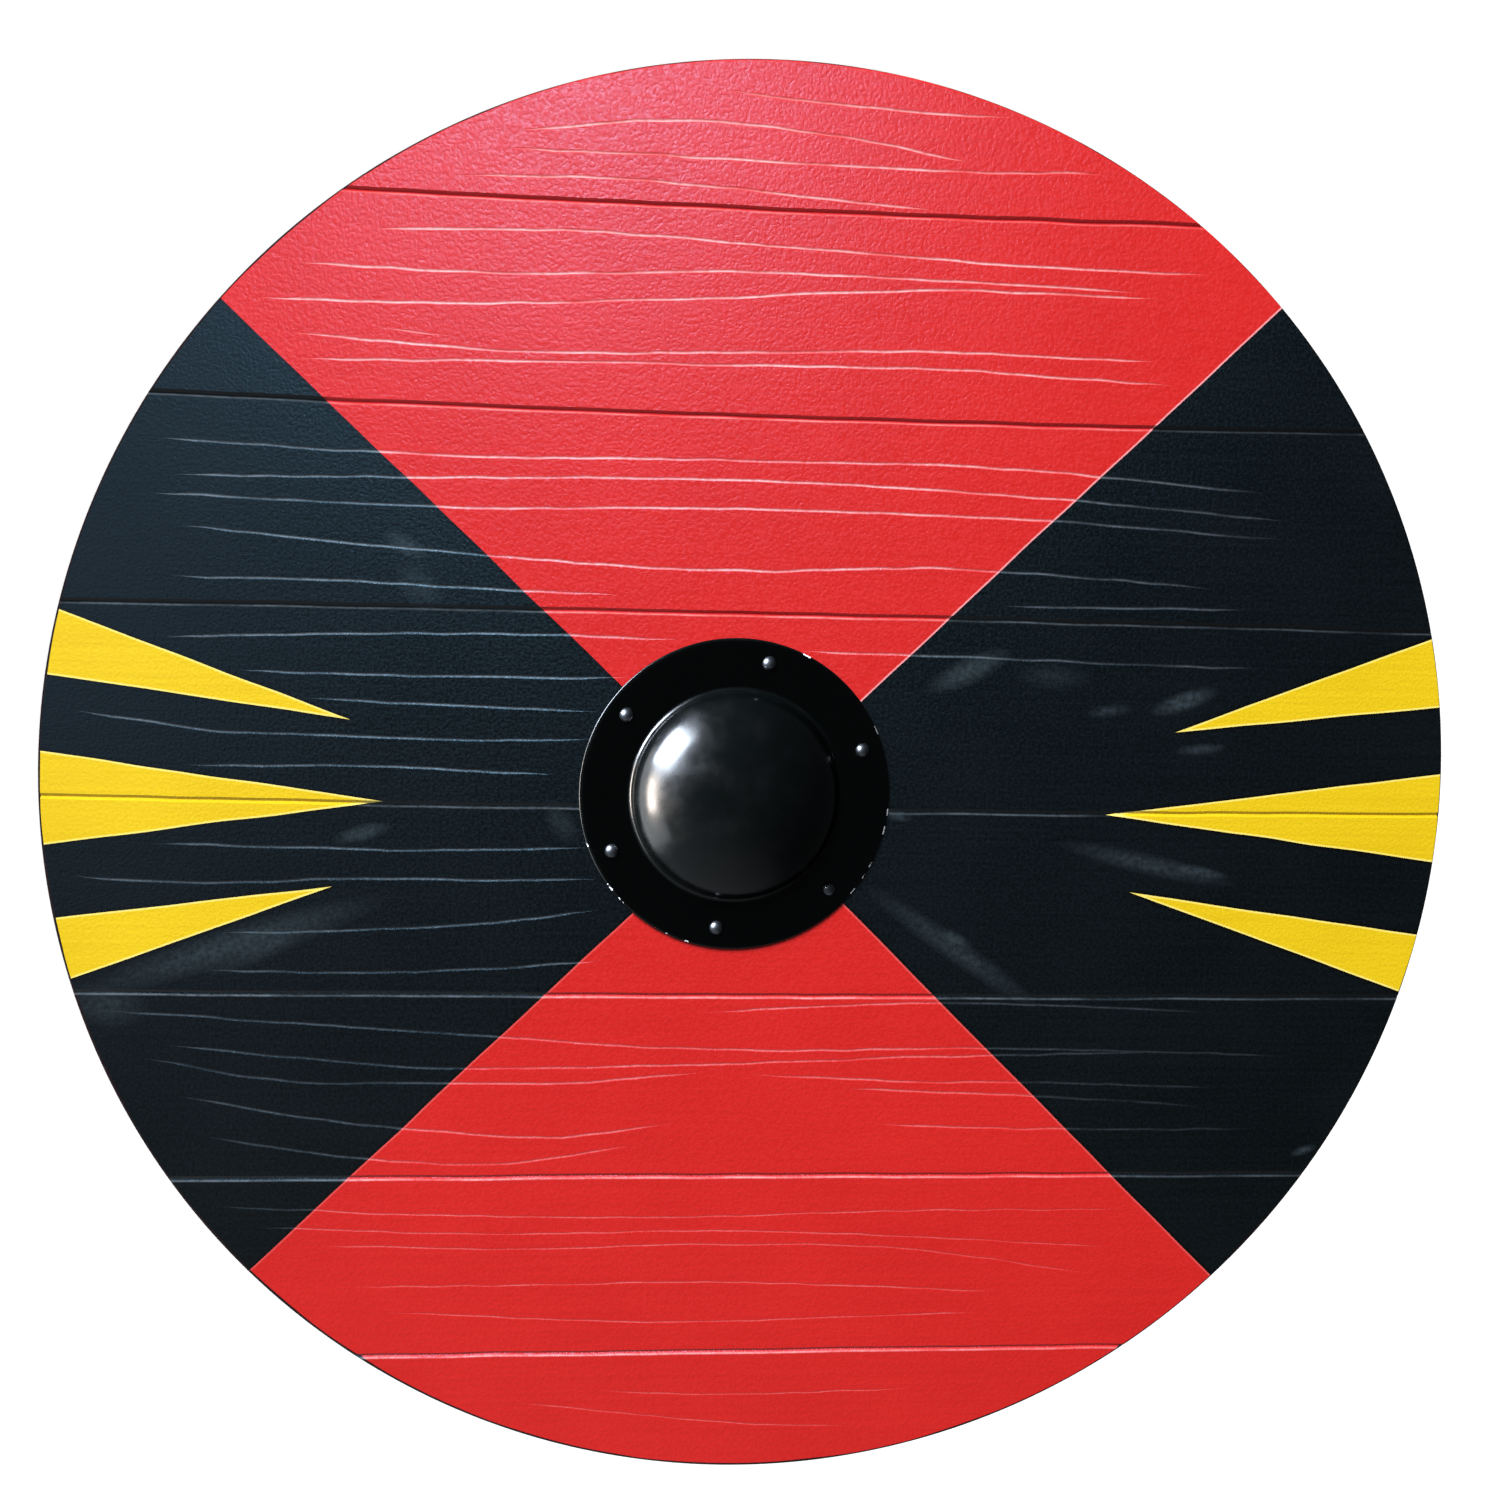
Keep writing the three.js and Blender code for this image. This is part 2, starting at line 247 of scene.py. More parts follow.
rim_area = plan_area(circle((0, 0), board_radius, rim_steps))
for inset in rings_from_rim:
    ring = circle((0, 0), board_radius - inset, rim_steps)
    plan_line([*ring, ring[0]])
edging = circle(edging_shade_shift, board_radius - edging_width, rim_steps)
edging = [point * (1 + strayed(i * 6.6, 5, 25.0, 0.5) / board_radius) for i, point in enumerate(edging)]
inside_edging_area = plan_area(edging)

hand_hole_area = plan_area(circle(boss_centre, hand_hole_radius, 96))
shank_hole_areas = [plan_area(circle(place, shank_hole_radius, 24)) for place in rivet_places]
recess_areas = [
    plan_area(circle(place, washer_recess_radius, 40)) for place in rivet_places
    if abs((place - boss_centre).cross(grip_direction)) > grip_width / 2
]
across_grip = Vector((-grip_direction.y, grip_direction.x)) * (grip_width / 2 + housing_clearance)
along_grip = grip_direction * (grip_half_length + housing_clearance)
housing_area = plan_area([
    boss_centre - across_grip - along_grip, boss_centre - along_grip + across_grip,
    boss_centre + along_grip + across_grip, boss_centre + along_grip - across_grip,
][::-1])

# Lines of the plan run on past the rim, which cuts them off
outside = board_radius + 6
borders = {
    name: hand_line(pattern_middle, at_angle(angle, outside), seed)
    for seed, (name, angle) in enumerate(border_rim_angles.items())
}
upper_arc = [at_angle(angle, outside + 60) for angle in (55, 90, 125)]
lower_arc = [at_angle(angle, outside + 60) for angle in (-125, -90, -55)]
red_areas = [
    plan_area([*borders["upper_right"], *upper_arc, *borders["upper_left"][:0:-1]]),
    plan_area([*borders["lower_left"], *lower_arc, *borders["lower_right"][:0:-1]]),
]


def strip_beside(line, width):
    """A narrow strip on the plan along one side of a line, left of it where the width is above zero."""
    strip = [*line, *beside(line, [width] * len(line))[::-1]]
    return plan_area(strip if width > 0 else strip[::-1])


# The strips start some way out, at the boss's flange
shown_borders = {name: line[4:] for name, line in borders.items()}
undercoat_area = strip_beside(shown_borders["upper_right"], -undercoat_line_width)
# Darker black strips beside three of the borders, and beside each ray's edges further on
dark_ridge_areas = [
    strip_beside(shown_borders["upper_left"], dark_ridge_width),
    strip_beside(shown_borders["lower_left"], -dark_ridge_width),
    strip_beside(shown_borders["lower_right"], dark_ridge_width),
]
red_ridge_areas = [
    strip_beside(shown_borders["lower_left"], paint_ridge_width),
    strip_beside(shown_borders["lower_right"], -paint_ridge_width),
]
ray_areas = []
yellow_highlight_areas = []
for seed, ((first, second), tip) in enumerate(rays):
    edges = [
        hand_line(tip, at_angle(angle, outside), 20 + 2 * seed + i)
        for i, angle in enumerate((first, second))
    ]
    if (edges[0][-1] - Vector(tip)).cross(edges[1][-1] - Vector(tip)) < 0:
        edges.reverse()
    ray_areas.append(plan_area([*edges[0], *edges[1][:0:-1]]))
    # Painted highlight: a pale strip inside each edge of the ray, where the yellow paint's ridge catches the
    # light
    yellow_highlight_areas.append(strip_beside(edges[0], paint_ridge_width))
    yellow_highlight_areas.append(strip_beside(edges[1], -paint_ridge_width))
    dark_ridge_areas.append(strip_beside(edges[0], -dark_ridge_width))
    dark_ridge_areas.append(strip_beside(edges[1], dark_ridge_width))

groove_xs = [-outside + 2 * outside * i / groove_steps for i in range(groove_steps + 1)]
for number in range(len(groove_bows)):
    bottom = [Vector((x, groove_y(number, x))) for x in groove_xs]
    plan_line(bottom)
    for side in (-1, 1):
        plan_line([point + Vector((0, side * groove_width / 2)) for point in bottom])
    for below in (highlight_below_bottom - highlight_half_width, highlight_below_bottom, highlight_below_bottom + highlight_half_width):
        plan_line([point - Vector((0, below)) for point in bottom])

scores = []
for board_number, rows in enumerate(scored_lines):
    for row_number, row in enumerate(rows):
        route, fullness = score_route(board_number, row, 40 + 10 * board_number + row_number)
        scores.append((route, fullness))
        plan_line(route)
        for side in (-1, 1):
            plan_line(beside(route, [side * max(score_half_width * full, 0.02) for full in fullness]))

plan = delaunay_2d_cdt(plan_points, plan_edges, plan_areas, 0, 1e-3)
plan_xy = np.array([point[:] for point in plan[0]])
plan_faces = [(face, set(areas)) for face, areas in zip(plan[2], plan[5])]
board_faces = [
    (face, areas) for face, areas in plan_faces
    if rim_area in areas and hand_hole_area not in areas and not areas.intersection(shank_hole_areas)
]


def groove_marks(xy):
    """How deep each point lies in a groove, how much painted shade darkens it there and how much painted
    highlight pales the groove's lower edge.
    """
    deep = np.zeros(len(xy))
    painted_groove_shade = np.zeros(len(xy))
    groove_edge_highlight = np.zeros(len(xy))
    for number in range(len(groove_bows)):
        bottom = np.interp(xy[:, 0], groove_xs, [groove_y(number, x) for x in groove_xs])
        share = np.clip(1 - np.abs(xy[:, 1] - bottom) / (groove_width / 2), 0, 1)
        beside_highlight = np.abs(bottom - highlight_below_bottom - xy[:, 1]) / highlight_half_width
        deep = np.maximum(deep, share)
        painted_groove_shade = np.maximum(painted_groove_shade, groove_painted_shade[number] * share)
        groove_edge_highlight = np.maximum(groove_edge_highlight, groove_painted_highlight[number] * np.clip(1 - beside_highlight, 0, 1))
    return deep, painted_groove_shade, groove_edge_highlight


def score_share(xy):
    """How deep each point lies in a scored line, from 0 on the face to 1 at the full depth."""
    depth = np.zeros(len(xy))
    for route, fullness in scores:
        line = np.array([point[:] for point in route])
        low = line.min(axis=0) - 2
        high = line.max(axis=0) + 2
        near = np.nonzero(np.all((xy > low) & (xy < high), axis=1))[0]
        if len(near) == 0:
            continue
        start = line[:-1]
        step = line[1:] - start
        offset = xy[near][:, None, :] - start[None, :, :]
        share = np.clip((offset * step).sum(axis=2) / (step * step).sum(axis=1), 0, 1)
        away = np.linalg.norm(offset - share[:, :, None] * step[None, :, :], axis=2)
        nearest = away.argmin(axis=1)
        rows = np.arange(len(near))
        full = np.array(fullness)
        cut = full[:-1][nearest] + share[rows, nearest] * (full[1:] - full[:-1])[nearest]
        inside = np.clip(1 - away[rows, nearest] / np.maximum(score_half_width * cut, 0.02), 0, 1)
        depth[near] = np.maximum(depth[near], inside * cut)
    return depth


plan_radius = np.hypot(plan_xy[:, 0], plan_xy[:, 1])
past_front = np.clip(plan_radius - (board_radius - front_arris), 0, front_arris)
past_back = np.clip(plan_radius - (board_radius - back_arris), 0, back_arris)
front_fall = front_arris - np.sqrt(front_arris ** 2 - past_front ** 2)
back_rise = back_arris - np.sqrt(back_arris ** 2 - past_back ** 2)
scored = score_share(plan_xy)
grooved, painted_groove_shade, groove_edge_highlight = groove_marks(plan_xy)
for face, areas in board_faces:
    if areas.intersection(ray_areas):
        scored[list(face)] = 0.0
        groove_edge_highlight[list(face)] = 0.0
lowered = np.maximum(groove_depth * grooved, score_depth * scored)
# Painted sheen: the scratches' pale is strongest high up and fades towards the right, as does the grooves'
# painted highlight
shows = np.clip(0.52 + plan_xy[:, 1] / 500, 0.28, 1.0) * np.clip(1.15 - plan_xy[:, 0] / 350, 0.45, 1.0)
pale = np.maximum(scored * shows, groove_edge_highlight * np.clip(1.0 - plan_xy[:, 0] / 500, 0.5, 1.0))
face_height = board_thickness - np.maximum(lowered, front_fall)


def underside_level(areas):
    """How far above the resting plane the board's underside is cut within these areas."""
    if housing_area in areas:
        return housing_depth
    if areas.intersection(recess_areas):
        return washer_recess_depth
    return 0.0


board_points = []
board_pale = []
board_groove_shade = []
board_polygons = []
board_finishes = []
point_numbers = {}


def board_point(number, level):
    """The board's mesh point over a plan point, on the face or at a level of the underside."""
    key = (number, level)
    if key not in point_numbers:
        point_numbers[key] = len(board_points)
        height = face_height[number] if level == "face" else max(level, back_rise[number])
        board_points.append((plan_xy[number, 0] * MM, plan_xy[number, 1] * MM, height * MM))
        board_pale.append(float(pale[number]) if level == "face" else 0.0)
        board_groove_shade.append(float(painted_groove_shade[number]) if level == "face" else 0.0)
    return point_numbers[key]


def board_polygon(corners, finish):
    """Add a polygon to the board's mesh, with the finish on it."""
    board_polygons.append([board_point(number, level) for number, level in corners])
    board_finishes.append(finish)


def face_paint(areas):
    """Which paint covers a piece of the face."""
    # the strip round the rim: black edge paint lapped over the corner as painted shade
    if inside_edging_area not in areas:
        return "black_edge"
    if areas.intersection(ray_areas):
        return "yellow_ridge" if areas.intersection(yellow_highlight_areas) else "yellow"
    if undercoat_area in areas:
        return "undercoat"
    if areas.intersection(dark_ridge_areas):
        return "black_ridge"
    if areas.intersection(red_areas):
        return "red_ridge" if areas.intersection(red_ridge_areas) else "red"
    return "black"


finish_order = (
    "red", "black", "yellow", "undercoat", "red_ridge", "yellow_ridge", "black_ridge", "black_edge",
    "back", "sawn",
)
side_of_edge = {}
for face, areas in board_faces:
    level = underside_level(areas)
    board_polygon([(number, "face") for number in face], face_paint(areas))
    board_polygon([(number, level) for number in reversed(face)], "back")
    for i, number in enumerate(face):
        side_of_edge[(number, face[(i + 1) % len(face)])] = level
for (first, second), level in side_of_edge.items():
    beyond = side_of_edge.get((second, first))
    if beyond is None:
        at_rim = min(plan_radius[first], plan_radius[second]) > board_radius - rim_chord_depth
        board_polygon([(first, level), (second, level), (second, "face"), (first, "face")],
                      "black_edge" if at_rim else "sawn")
    elif level < beyond:
        board_polygon([(first, level), (second, level), (second, beyond), (first, beyond)], "sawn")


def piece_from_mesh(name, points, polygons, smooth_degrees=None):
    """A new piece from points in metres and the polygons between them."""
    mesh = bpy.data.meshes.new(name)
    mesh.from_pydata(points, [], polygons)
    mesh.validate()
    if smooth_degrees is not None:
        mesh.shade_smooth()
        mesh.set_sharp_from_angle(angle=math.radians(smooth_degrees))
    mesh.update()
    piece = bpy.data.objects.new(name, mesh)
    bpy.context.scene.collection.objects.link(piece)
    return piece


def paint_hex(code):
    """An sRGB hex colour as linear red, green, blue and alpha."""
    values = [int(code[i:i + 2], 16) / 255 for i in (1, 3, 5)]
    linear = [v / 12.92 if v <= 0.04045 else ((v + 0.055) / 1.055) ** 2.4 for v in values]
    return (*linear, 1.0)


def add_node(tree, kind, gives, inputs=None, **settings):
    """Add a shader node with its settings, link or fill in its inputs, and return the output it gives."""
    node = tree.nodes.new("ShaderNode" + kind)
    for name, value in settings.items():
        setattr(node, name, value)
    for socket, value in (inputs or {}).items():
        if isinstance(value, bpy.types.NodeSocket):
            tree.links.new(value, node.inputs[socket])
        else:
            node.inputs[socket].default_value = value
    return node.outputs[gives] if gives else None


def new_material(name, finish, *looks):
    """A new material with a finish: a function that adds its nodes to a tree and returns its surface."""
    material = bpy.data.materials.new(name)
    material.use_nodes = True
    tree = material.node_tree
    tree.nodes.clear()
    surface = finish(tree, *looks)
    add_node(tree, "OutputMaterial", None, {"Surface": surface})
    return material


def smudge_mask(tree, place, smudges):
    """A mask of soft smudged marks on the face. Each has its x and y, length and width in millimetres, its
    direction in degrees and its strength."""
    mask = None
    for x, y, length, width, direction, strength in smudges:
        within = add_node(tree, "Mapping", "Vector", {
            "Vector": place,
            "Location": (x * MM, y * MM, board_thickness * MM),
            "Rotation": (0.0, 0.0, math.radians(direction)),
            "Scale": (length / 2 * MM, width / 2 * MM, 1.0),
        }, vector_type="TEXTURE")
        away = add_node(tree, "VectorMath", "Value", {0: within}, operation="LENGTH")
        mark = add_node(tree, "MapRange", "Result", {
            "Value": away, "From Min": 0.2, "From Max": 1.0, "To Min": strength, "To Max": 0.0,
        })
        if mask is None:
            mask = mark
        else:
            mask = add_node(tree, "Math", "Value", {0: mask, 1: mark}, operation="MAXIMUM")
    return mask


def brushed_enamel(tree, thin, thick, scratch_and_highlight_colour, groove_shade_colour, smudged="#000000", smudges=(),
                   peel_spacing=0.0017, peel_height=0.00022):
    """Satin oil enamel laid on wood with a brush, along the boards. The eye sees an even colour with
    very faint streaks, a soft grainy sheen, pale scored grain lines, partly scraped paint and partly
    painted highlight, a painted highlight on the grooves' lower edges and painted shade deep in the grooves."""
    place = add_node(tree, "TexCoord", "Object")
    # bristle marks 2.5 mm apart and 150 mm long
    along = add_node(tree, "Mapping", "Vector", {"Vector": place, "Scale": (1 / 0.150, 1 / 0.0025, 1.0)})
    streaks = add_node(tree, "TexNoise", "Fac", {"Vector": along, "Scale": 1.0, "Detail": 3.0})
    # thicker and thinner paint in patches about 70 mm across
    patches = add_node(tree, "TexNoise", "Fac", {"Vector": place, "Scale": 1 / 0.070, "Detail": 4.0})
    # the enamel's orange peel, drawn with its dimples just under 2 mm apart, as coarse as it needs to show
    peel = add_node(tree, "TexNoise", "Fac", {"Vector": place, "Scale": 1 / peel_spacing, "Detail": 2.0})
    together = add_node(tree, "Math", "Value", {0: streaks, 1: patches}, operation="ADD")
    grainy = add_node(tree, "Math", "Value", {0: together, 1: peel}, operation="ADD")
    thickness = add_node(tree, "MapRange", "Result", {"Value": grainy, "From Min": 1.2, "From Max": 1.8})
    colour = add_node(tree, "MixRGB", "Color", {
        "Fac": thickness, "Color1": paint_hex(thin), "Color2": paint_hex(thick),
    })

    # each scratch grows and fades over some 40 mm, and is ragged every 4 mm
    swelling = add_node(tree, "Mapping", "Vector", {"Vector": place, "Scale": (1 / 0.040, 1 / 0.006, 1.0)})
    depth = add_node(tree, "TexNoise", "Fac", {"Vector": swelling, "Scale": 1.0, "Detail": 1.0})
    deep = add_node(tree, "MapRange", "Result", {
        "Value": depth, "From Min": 0.32, "From Max": 0.62, "To Min": 0.25, "To Max": 1.0,
    })
    ragged = add_node(tree, "TexNoise", "Fac", {"Vector": place, "Scale": 1 / 0.004, "Detail": 2.0})
    torn = add_node(tree, "MapRange", "Result", {
        "Value": ragged, "From Min": 0.3, "From Max": 0.55, "To Min": 0.55, "To Max": 1.0,
    })
    uneven = add_node(tree, "Math", "Value", {0: deep, 1: torn}, operation="MULTIPLY")
    # the pale of the scored lines, partly scraped paint and partly painted highlight, and the painted
    # highlight on the grooves' lower edges
    pale_mark = add_node(tree, "Attribute", "Fac", attribute_name="pale")
    pale_strength = add_node(tree, "MapRange", "Result", {"Value": pale_mark, "From Min": 0.0, "From Max": 0.7})
    pale_share = add_node(tree, "Math", "Value", {0: pale_strength, 1: uneven}, operation="MULTIPLY")
    # painted shade deep in the grooves
    groove_shade_mark = add_node(tree, "Attribute", "Fac", attribute_name="painted_groove_shade")
    groove_shade_share = add_node(tree, "Math", "Value", {0: groove_shade_mark, 1: 2.0}, operation="POWER")
    layers = [(pale_share, scratch_and_highlight_colour), (groove_shade_share, groove_shade_colour)]
    if smudges:
        # dust rubbed into the sheen, in grains of about 3 mm
        grains = add_node(tree, "TexNoise", "Fac", {"Vector": place, "Scale": 1 / 0.003, "Detail": 3.0})
        grain_share = add_node(tree, "MapRange", "Result", {
            "Value": grains, "From Min": 0.3, "From Max": 0.7, "To Min": 0.3, "To Max": 1.0,
        })
        rubbed_in = smudge_mask(tree, place, smudges)
        dust = add_node(tree, "Math", "Value", {0: rubbed_in, 1: grain_share}, operation="MULTIPLY")
        layers.append((dust, smudged))
    for share, over in layers:
        colour = add_node(tree, "MixRGB", "Color", {
            "Fac": share, "Color1": colour, "Color2": paint_hex(over),
        })

    roughness = add_node(tree, "MapRange", "Result", {
        "Value": peel, "From Min": 0.35, "From Max": 0.65, "To Min": 0.28, "To Max": 0.46,
    })
    ridges = add_node(tree, "Bump", "Normal", {"Height": streaks, "Strength": 0.2, "Distance": 0.00005})
    dimples = add_node(tree, "Bump", "Normal", {
        "Height": peel, "Strength": 1.0, "Distance": peel_height, "Normal": ridges,
    })
    return add_node(tree, "BsdfPrincipled", "BSDF", {
        "Base Color": colour, "Roughness": roughness, "Normal": dimples, "IOR": 1.5,
    })


black_smudges = (
    (-191, 134, 27, 12, -27, 0.4), (-184, 113, 34, 21, -47, 0.2), (-214, -17, 33, 10, 15, 0.4),
    (-281, -78, 172, 22, 18, 0.35), (-265, -78, 76, 16, 25, 0.3), (-349, -111, 46, 27, -6, 0.25),
    (-109, -10, 29, 16, -55, 0.2), (109, 75, 52, 16, 26, 0.45), (156, 73, 46, 16, -2, 0.14),
    (230, 61, 41, 12, 19, 0.5), (188, 55, 28, 8, 9, 0.25), (241, 35, 31, 7, 5, 0.35),
    (215, -29, 109, 13, -12, 0.3), (243, -33, 42, 8, -10, 0.45), (109, -78, 127, 15, -34, 0.3),
    (108, -72, 25, 9, -25, 0.45), (318, -194, 17, 6, 18, 0.4), (73, -4, 19, 7, -11, 0.35),
)
red_smudges = ((209, 204, 18, 5, 0, 0.6),)
# Each enamel's name, then its looks in the order of brushed_enamel. The third colour is the pale of the
# scored lines and the painted groove highlights, the fourth is the painted shade deep in the grooves
enamels = {
    "red": ("red_enamel", "#CA2320", "#D22724", "#FBB2B6", "#8E0E1A", "#B01324", red_smudges, 0.0018, 0.0003),
    "black": ("black_enamel", "#04080A", "#0A0F12", "#66707A", "#020303", "#4C5A62", black_smudges),
    "yellow": ("yellow_enamel", "#DFBC14", "#E9C71A", "#F9E47A", "#5E4A10"),
    "undercoat": ("pink_undercoat", "#E98C90", "#F2A0A4", "#F2A0A6", "#A01020"),
    "red_ridge": ("thin_red_enamel", "#D84644", "#DE5250", "#FBB2B6", "#8E0E1A"),
    # the pale strip inside each ray's edges is painted highlight
    "yellow_ridge": ("yellow_painted_highlight_enamel", "#F4DE62", "#F7E57E", "#F9E47A", "#5E4A10"),
    # darker black for the strips beside the rays and three borders
    "black_ridge": ("darker_black_strip_enamel", "#050404", "#090707", "#77828A", "#030404"),
    # the rim's black edge paint, whose lap over the front corner is painted shade
    "black_edge": ("black_edge_enamel", "#1A0A0B", "#241012", "#77828A", "#030404"),
}
board_materials = {
    finish: new_material(name, brushed_enamel, *looks) for finish, (name, *looks) in enamels.items()
}


def varnished_softwood(tree, early, late, varnish_roughness):
    """Planed softwood under a thin clear varnish. The eye sees yellow-brown wood with darker grain lines
    running along the boards, fine pores and a low sheen."""
    place = add_node(tree, "TexCoord", "Object")
    # growth rings about 5 mm apart across the boards, drawn out 35 times along them
    along = add_node(tree, "Mapping", "Vector", {
        "Vector": place, "Scale": (1 / 0.180, 1 / 0.005, 1 / 0.005),
    })
    rings = add_node(tree, "TexNoise", "Fac", {
        "Vector": along, "Scale": 1.0, "Detail": 2.0, "Distortion": 0.4,
    })
    late_wood = add_node(tree, "MapRange", "Result", {"Value": rings, "From Min": 0.42, "From Max": 0.66})
    # pores 0.4 mm wide and 12 mm long
    fine = add_node(tree, "Mapping", "Vector", {
        "Vector": place, "Scale": (1 / 0.012, 1 / 0.0004, 1 / 0.0004),
    })
    pores = add_node(tree, "TexNoise", "Fac", {"Vector": fine, "Scale": 1.0, "Detail": 2.0})
    pore_marks = add_node(tree, "MapRange", "Result", {"Value": pores, "From Min": 0.55, "From Max": 0.75})
    patches = add_node(tree, "TexNoise", "Fac", {"Vector": place, "Scale": 1 / 0.090, "Detail": 3.0})
    darker = add_node(tree, "MapRange", "Result", {
        "Value": patches, "From Min": 0.35, "From Max": 0.65, "To Min": 0.0, "To Max": 0.35,
    })
    colour = paint_hex(early)
    layers = ((late_wood, late, "MIX"), (darker, late, "MULTIPLY"), (pore_marks, "#6E4A2A", "MIX"))
    for share, over, blend in layers:
        colour = add_node(tree, "MixRGB", "Color", {
            "Fac": share, "Color1": colour, "Color2": paint_hex(over),
        }, blend_type=blend)
    grain = add_node(tree, "Bump", "Normal", {"Height": pores, "Strength": 0.4, "Distance": 0.00008})
    return add_node(tree, "BsdfPrincipled", "BSDF", {
        "Base Color": colour, "Roughness": varnish_roughness, "Normal": grain, "IOR": 1.5,
    })


board_materials["back"] = new_material("varnished_pine", varnished_softwood, "#CFA46B", "#A9743F", 0.45)
board_materials["sawn"] = new_material("bare_sawn_pine", varnished_softwood, "#D3AF7C", "#B0824E", 0.7)

board = piece_from_mesh("dressed_board", board_points, board_polygons)
for finish in finish_order:
    board.data.materials.append(board_materials[finish])
finish_numbers = [finish_order.index(finish) for finish in board_finishes]
board.data.polygons.foreach_set("material_index", finish_numbers)
for name, values in (("pale", board_pale), ("painted_groove_shade", board_groove_shade)):
    board.data.attributes.new(name, "FLOAT", "POINT").data.foreach_set("value", values)
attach(board, "root")
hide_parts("board")

# The boss
# A round steel dome with a flat flange, pressed from one sheet and set over the hand hole. It is
# stove enamelled gloss black all over, and the enamel has chipped along the flange's edge.
boss_wall = 1.8
flange_width = 28.5
flange_edge_radius = 0.6
dome_foot_radius = 3.0
dome_radius = flange_radius - flange_width
boss_bottom = boss_low[2] / MM
boss_top = boss_high[2] / MM


def arc(centre, radius, first, last, steps):
    """Points along a circular arc between two angles in degrees."""
    angles = [math.radians(first + (last - first) * i / steps) for i in range(steps + 1)]
    return [(centre[0] + radius * math.cos(a), centre[1] + radius * math.sin(a)) for a in angles]


def turned(profile, centre, steps):
    """Points in metres and polygons of a closed profile of (radius, height) turned round an upright axis."""
    points = []
    rings = []
    for radius, height in profile:
        count = steps if radius > 1e-6 else 1
        ring = []
        for i in range(count):
            turn = 2 * math.pi * i / steps
            ring.append(len(points))
            x = centre[0] + radius * math.cos(turn)
            y = centre[1] + radius * math.sin(turn)
            points.append((x * MM, y * MM, height * MM))
        rings.append(ring)
    polygons = []
    for ring, following in zip(rings, rings[1:] + rings[:1]):
        if len(ring) == 1 and len(following) == 1:
            continue
        for i in range(steps):
            j = (i + 1) % steps
            corners = [ring[i % len(ring)], ring[j % len(ring)], following[j % len(following)],
                       following[i % len(following)]]
            polygons.append(list(dict.fromkeys(corners)))
    return points, polygons


def drilled(piece, places, radius, bottom, top):
    """Cut upright round holes through a piece, all in millimetres."""
    points = []
    polygons = []
    for centre in places:
        hole = [(0, bottom), (radius, bottom), (radius, top), (0, top)]
        hole_points, hole_polygons = turned(hole, centre, 32)
        polygons += [[len(points) + number for number in polygon] for polygon in hole_polygons]
        points += hole_points
    cutter = piece_from_mesh("cutter", points, polygons)
    cut = piece.modifiers.new("holes", "BOOLEAN")
    cut.operation = "DIFFERENCE"
    cut.solver = "EXACT"
    cut.object = cutter
    mesh = bpy.data.meshes.new_from_object(piece.evaluated_get(bpy.context.evaluated_depsgraph_get()))
    piece.modifiers.clear()
    plain_mesh = piece.data
    piece.data = mesh
    bpy.data.meshes.remove(plain_mesh)
    bpy.data.objects.remove(cutter)


dome_steps = 40
dome_foot = boss_bottom + boss_wall + dome_foot_radius
dome_rise = boss_top - dome_foot
dome_outside = []
dome_inside = []
for i in range(1, dome_steps + 1):
    turn = math.pi / 2 * i / dome_steps
    inward = Vector((-dome_rise * math.cos(turn), -dome_radius * math.sin(turn))).normalized() * boss_wall
    outer = Vector((dome_radius * math.cos(turn), dome_foot + dome_rise * math.sin(turn)))
    inner = outer + inward
    dome_outside.append((outer.x if i < dome_steps else 0.0, outer.y))
    dome_inside.append((inner.x if i < dome_steps else 0.0, inner.y))
foot_centre = (dome_radius + dome_foot_radius, dome_foot)
edge_centre = (flange_radius - flange_edge_radius, boss_bottom + boss_wall - flange_edge_radius)
boss_profile = [
    *dome_inside[::-1],
    *arc(foot_centre, dome_foot_radius + boss_wall, 180, 270, 10),
    (flange_radius - 0.3, boss_bottom),
    (flange_radius, boss_bottom + 0.3),
    *arc(edge_centre, flange_edge_radius, 0, 90, 5),
    (flange_radius - 1.6, boss_bottom + boss_wall),
    *arc(foot_centre, dome_foot_radius, 270, 180, 12),
    *dome_outside,
]
boss = piece_from_mesh("dressed_boss", *turned(boss_profile, boss_centre, 192))
drilled(boss, rivet_places, shank_hole_radius, boss_bottom - 5, boss_bottom + 5)
boss.data.shade_smooth()
boss.data.set_sharp_from_angle(angle=math.radians(40))


# Where the enamel has chipped along the edge: the middle of each stretch in degrees and its half width
chipped_stretches = (
    (-5.5, 2.2), (-12.3, 2.6), (-25.7, 2.4), (-31, 1.8), (-38, 2.2), (26, 2.6), (64.4, 2.6), (199, 1.8),
    (217, 2.6), (223.7, 2.6), (245.5, 1.8), (253, 1.4),
)


